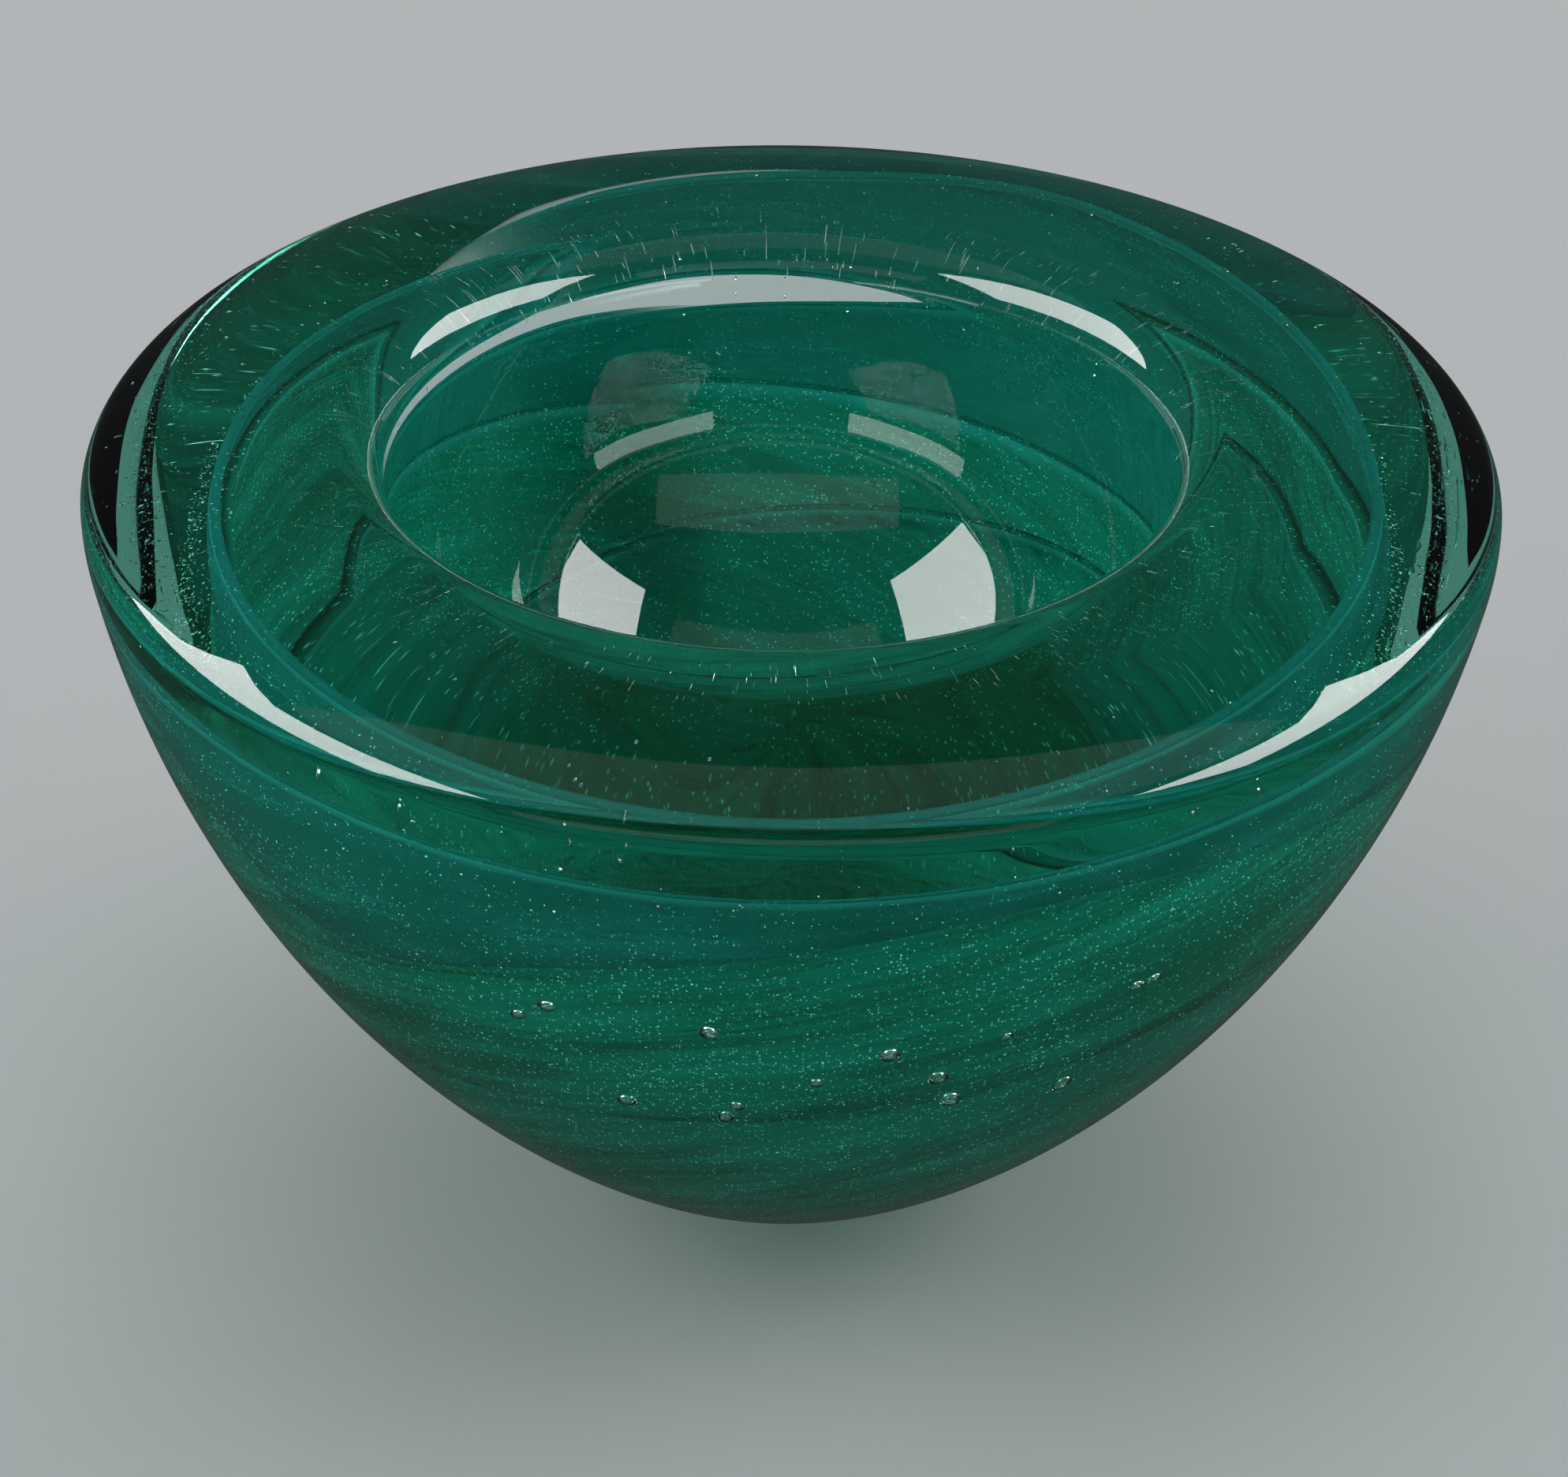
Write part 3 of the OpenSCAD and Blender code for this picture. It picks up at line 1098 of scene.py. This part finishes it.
@dataclass
class Inclusions:
    """What is scattered through the glass: bubbles and glitter.

    Attributes:
        winding: How the coloured coat is wound.
        casing: Half section of the outside.
        well: Half section of the well.
        seed: Start of the random draws.
        seeds_below: Number of seed bubbles round the coloured coat.
        seeds_in_rim: Number of seed bubbles in the clear rim.
        bubbles: Number of large bubbles.
        bubbles_z: Their middle height.
        bubbles_bearing: Bearing of the first one.
        bubbles_step: Step from each to the next, in degrees.
        bubbles_scatter: How far each strays, in degrees and in height.
        bubbles_depth: Depth of their centres under the flank.
        spindles: Number of bubbles drawn out towards the lip.
    """

    winding: Winding
    casing: BowlSection
    well: WellSection
    seed: int = 7
    seeds_below: int = 420
    seeds_in_rim: int = 260
    bubbles: int = 14
    bubbles_z: float = 38.0
    bubbles_bearing: float = -24.0
    bubbles_step: float = 4.6
    bubbles_scatter: float = 6.0
    bubbles_depth: float = 1.8
    spindles: int = 520

    def on_sheet(
        self, dice: np.random.Generator, count: int, low: float, high: float, inset: Array
    ) -> Array:
        """Places spread evenly by area over the veiled mass between two heights.

        Args:
            dice: Source of the random draws.
            count: Number of places.
            low: Lowest height.
            high: Greatest height.
            inset: Distance inside the section for each place.

        Returns:
            Rows of coordinates.
        """
        wall = self.winding.section.wall()
        wall = wall[(wall[:, 1] >= low) & (wall[:, 1] <= high)]
        step = np.hypot(*np.diff(wall, axis=0).T) * wall[1:, 0]
        share = np.concatenate([[0.0], np.cumsum(step)]) / step.sum()
        pick = dice.random(count)
        radius = np.interp(pick, share, wall[:, 0])
        height = np.interp(pick, share, wall[:, 1])
        bearing = dice.uniform(self.winding.start, self.winding.end, count)
        return around(radius * self.winding.spread(bearing, height) - inset, bearing, height)

    def glitter(
        self, name: str, slot: Slot, count: int, low: float, high: float, inset: tuple[float, float]
    ) -> None:
        """Scatters flat eight-sided flecks, 0.04 to 0.13 mm in radius, over part of a sheet.

        Args:
            name: Name of the piece.
            slot: The record's slot.
            count: Number of flecks.
            low: Lowest height.
            high: Greatest height.
            inset: Least and greatest distance inside the section.
        """
        dice = np.random.default_rng(self.seed + len(name) + count)
        places = self.on_sheet(dice, count, low, high, dice.uniform(*inset, count))
        size = 0.04 + 0.09 * dice.random(count) ** 3
        lengths = size[:, None] * np.array([[1.0, 0.8, 0.45]])
        points, sides = ball_shape(0)
        piece = repeated_piece(name, points, sides, places, random_frames(dice, lengths))
        dress(piece, Finish.GLITTER.value.build(), slot)

    def seeds(self) -> None:
        """Scatters fine round seed bubbles through the casing, the gather and the clear rim."""
        dice = np.random.default_rng(self.seed)
        count, in_rim = self.seeds_below, self.seeds_in_rim
        outside = dice.random(count) < 0.5
        inset = np.where(outside, dice.uniform(-3.0, -1.0, count), dice.uniform(1.5, 8.0, count))
        low = self.on_sheet(dice, count, 6.0, 56.0, inset)
        radius = np.sqrt(dice.uniform(44.0**2, 55.0**2, in_rim))
        high = around(radius, dice.uniform(-180.0, 180.0, in_rim), dice.uniform(55.0, 64.0, in_rim))
        places = np.concatenate([low, high])
        size = 0.06 + 0.16 * dice.random(count + in_rim) ** 3
        points, sides = ball_shape(1)
        frames = random_frames(dice, np.tile(size[:, None], 3))
        piece = repeated_piece("seed_bubbles", points, sides, places, frames)
        dress(piece, Finish.BUBBLE.value.build(), Slot.AIR)

    def large(self) -> None:
        """Builds the large bubbles, slightly drawn-out balls in the places of their solids: a row of even
        steps from which each strays by the sine of its own angle."""
        turn = np.arange(self.bubbles)
        stray = self.bubbles_scatter * np.sin(np.radians(137.0 * turn))
        bearing = self.bubbles_bearing + self.bubbles_step * turn + stray
        height = self.bubbles_z + self.bubbles_scatter * np.sin(np.radians(199.0 * turn + 40.0))
        radius = self.casing.radius_at(height) - self.bubbles_depth
        size = 0.45 + 0.5 * np.abs(np.sin(np.radians(97.0 * turn + 20.0)))
        lengths = size[:, None] * np.array([[1.15, 1.0, 0.9]])
        points, sides = ball_shape(3)
        dice = np.random.default_rng(self.seed + 1)
        places = around(radius, bearing, height)
        piece = repeated_piece("flank_bubbles", points, sides, places, random_frames(dice, lengths))
        dress(piece, Finish.BUBBLE.value.build(), Slot.AIR, "large_bubbles")

    def lip_streaks(self) -> None:
        """Builds the ring of bubbles that were drawn out towards the lip: thin spindles that point at the
        well's axis and lean down with the lip."""
        dice = np.random.default_rng(self.seed + 2)
        count = self.spindles
        bearing = dice.uniform(-180.0, 180.0, count)
        radius = self.well.radius + dice.uniform(2.6, 9.0, count)
        depth = 1.4 + 3.2 * dice.random(count) + 0.12 * (radius - self.well.radius)
        middle = around(radius, bearing, self.casing.top_z - depth)
        middle[:, 0] -= self.well.off
        lean = np.radians(dice.uniform(-8.0, 20.0, count))
        turn = np.radians(bearing)
        out = np.stack([np.sin(turn) * np.cos(lean), -np.cos(turn) * np.cos(lean), np.sin(lean)], axis=1)
        side = np.stack([np.cos(turn), np.sin(turn), np.zeros(count)], axis=1)
        over = np.cross(out, side)
        thin = 0.025 + 0.025 * dice.random(count)
        long = 0.3 + 0.6 * dice.random(count) ** 2
        frames = np.stack([out * long[:, None], side * thin[:, None], over * thin[:, None]], axis=2)
        points, sides = ball_shape(1)
        piece = repeated_piece("lip_spindles", points, sides, middle, frames)
        dress(piece, Finish.BUBBLE.value.build(), Slot.AIR, "lip_bubbles")

    def build(self) -> None:
        """Builds everything that is scattered through the glass."""
        self.glitter("upper_glitter", Slot.TEAL, 2600, 44.0, 56.0, (-0.2, 0.4))
        self.glitter("belly_glitter", Slot.RIBBON, 5200, 30.0, 52.0, (-0.5, 0.6))
        self.glitter("cup_glitter", Slot.DEEP, 6000, 4.0, 40.0, (-0.4, 1.6))
        self.seeds()
        self.large()
        self.lip_streaks()


# ---------------------------------------------------------------- studio


class Role(Enum):
    """What a softbox is for."""

    FILL = "soft light on matt surfaces, without a reflection of its own"
    SHINE = "reflections on polished surfaces only"


@dataclass(frozen=True)
class Softbox:
    """A lamp with an even rectangular face that is turned to the bowl.

    Attributes:
        name: Name of the lamp.
        place: Its place in metres.
        size: Its width and height in metres.
        power: Its power in watts.
        role: What it is for.
    """

    name: str
    place: tuple[float, float, float]
    size: tuple[float, float]
    power: float
    role: Role

    def hang(self) -> None:
        """Hangs the lamp, aimed at the middle of the bowl."""
        lamp = bpy.data.lights.new(self.name, "AREA")
        lamp.shape = "RECTANGLE"
        lamp.size, lamp.size_y = self.size
        lamp.energy = self.power
        holder = bpy.data.objects.new(self.name, lamp)
        place = Vector(self.place)
        aim = Vector((0.0, 0.0, 0.04)) - place
        holder.matrix_world = Matrix.Translation(place) @ aim.to_track_quat("-Z", "Y").to_matrix().to_4x4()
        holder.visible_diffuse = self.role is Role.FILL
        holder.visible_glossy = self.role is Role.SHINE
        bpy.context.scene.collection.objects.link(holder)


SOFTBOXES = (
    Softbox("left_softbox", (-0.80, -0.02, 0.50), (0.80, 0.42), 3.4, Role.FILL),
    Softbox("right_softbox", (0.78, 0.14, 0.50), (0.55, 0.45), 3.0, Role.FILL),
    Softbox("overhead_softbox", (0.0, 0.55, 0.85), (0.9, 0.6), 2.4, Role.FILL),
    Softbox("ceiling_softbox", (0.0, 0.0, 4.0), (6.0, 6.0), 80.0, Role.FILL),
    Softbox("overhead_card", (0.0, 0.1, 1.0), (1.1, 0.8), 0.7, Role.SHINE),
    Softbox("left_card", (-0.725, 0.063, 0.651), (1.02, 0.50), 16.0, Role.SHINE),
    Softbox("right_card", (0.717, 0.126, 0.651), (0.88, 0.44), 12.0, Role.SHINE),
    Softbox("front_card", (0.0, -1.0, 0.70), (1.8, 0.36), 0.8, Role.SHINE),
    Softbox("left_front_fill", (-0.72, -0.80, 0.16), (0.8, 0.28), 3.0, Role.FILL),
    Softbox("left_rear_fill", (-0.72, 0.75, 0.20), (0.9, 0.4), 0.7, Role.FILL),
    Softbox("right_front_fill", (0.72, -0.80, 0.16), (0.8, 0.28), 3.0, Role.FILL),
    Softbox("right_rear_fill", (0.72, 0.75, 0.20), (0.9, 0.4), 0.7, Role.FILL),
)


@dataclass
class Studio:
    """The camera, the floor and the lamps.

    Attributes:
        elevation: Angle of the camera above the level, in degrees.
        distance: Distance of the camera from the point it looks at.
        look_x: Where it looks, to the right of the axis.
        look_z: Height that it looks at.
        roll: Turn of the camera about its own line of sight, in degrees.
        lens: Focal length for a 36 mm wide sensor.
        floor_colour: Colour of the floor.
    """

    elevation: float = 31.5
    distance: float = 575.0
    look_x: float = -0.32
    look_z: float = 38.44
    roll: float = 0.8
    lens: float = 159.0
    floor_colour: str = "b4b6b8"

    def camera(self) -> None:
        """Places the camera: straight back from the point it looks at, at its elevation."""
        data = bpy.data.cameras.new("studio_camera")
        data.lens = self.lens
        data.sensor_width = 36.0
        data.clip_start = 0.01
        camera = bpy.data.objects.new("studio_camera", data)
        rise = np.radians(self.elevation)
        back, up = self.distance * np.cos(rise), self.distance * np.sin(rise)
        place = Vector((self.look_x, -back, self.look_z + up)) * MM
        tilt = Matrix.Rotation(np.radians(90.0 - self.elevation), 4, "X")
        roll = Matrix.Rotation(np.radians(self.roll), 4, "Z")
        camera.matrix_world = Matrix.Translation(place) @ tilt @ roll
        bpy.context.scene.collection.objects.link(camera)
        bpy.context.scene.camera = camera

    def floor(self) -> None:
        """Lays a wide flat floor under the bowl."""
        reach, gap = 3000.0, 0.02
        corners = np.array([[-1, -1, 0], [1, -1, 0], [1, 1, 0], [-1, 1, 0]]) * reach
        corners[:, 2] = -gap
        floor = mesh_piece("studio_floor", corners, [[0, 1, 2, 3]])
        floor.data.materials.append(PaleFloor("pale_paper", self.floor_colour).build())
        # Reflections don't see the floor, so the polished flank doesn't mirror the pale paper.
        floor.visible_glossy = False

    def world(self) -> None:
        """Sets a dim even surround, with a pale backdrop above the floor's far edge."""
        world = bpy.data.worlds.new("studio_world")
        world.use_nodes = True
        tree = world.node_tree
        tree.nodes.clear()
        surround = add(tree, "ShaderNodeBackground", {"Color": srgb("8f9496"), "Strength": 0.15})
        backdrop = add(tree, "ShaderNodeBackground", {"Color": srgb("b9bcbe"), "Strength": 1.0})
        path = add(tree, "ShaderNodeLightPath", {})
        links = {0: path.outputs["Is Camera Ray"], 1: surround.outputs[0], 2: backdrop.outputs[0]}
        sky = add(tree, "ShaderNodeMixShader", {}, links)
        add(tree, "ShaderNodeOutputWorld", {}, {"Surface": sky.outputs[0]})
        bpy.context.scene.world = world

    def build(self) -> None:
        """Sets up the studio."""
        self.camera()
        self.floor()
        self.world()
        for lamp in SOFTBOXES:
            lamp.hang()
        scene = bpy.context.scene
        scene.view_settings.view_transform = "Standard"
        scene.cycles.transparent_max_bounces = 48
        scene.cycles.max_bounces = 16
        scene.cycles.transmission_bounces = 16


def main() -> None:
    """Builds the bowl and the studio."""
    logging.basicConfig(level=logging.INFO, format="%(name)s %(message)s")
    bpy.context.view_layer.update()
    outside = BowlSection(57.5, 63.0, 15.0, 12.0, 15.0, 0.0, 2.5, 66.0, 44.0)
    Studio().build()
    body = ClearBody(outside)
    body.build()
    winding = Winding(BowlSection(47.5, 56.0, 45.0, 24.0, 12.5, 2.5, 6.0, 80.0, 40.0))
    Veils(winding).build()
    HeelPool(winding.section).build()
    Inclusions(winding, outside, body.well).build()


if __name__ == "__main__":
    main()
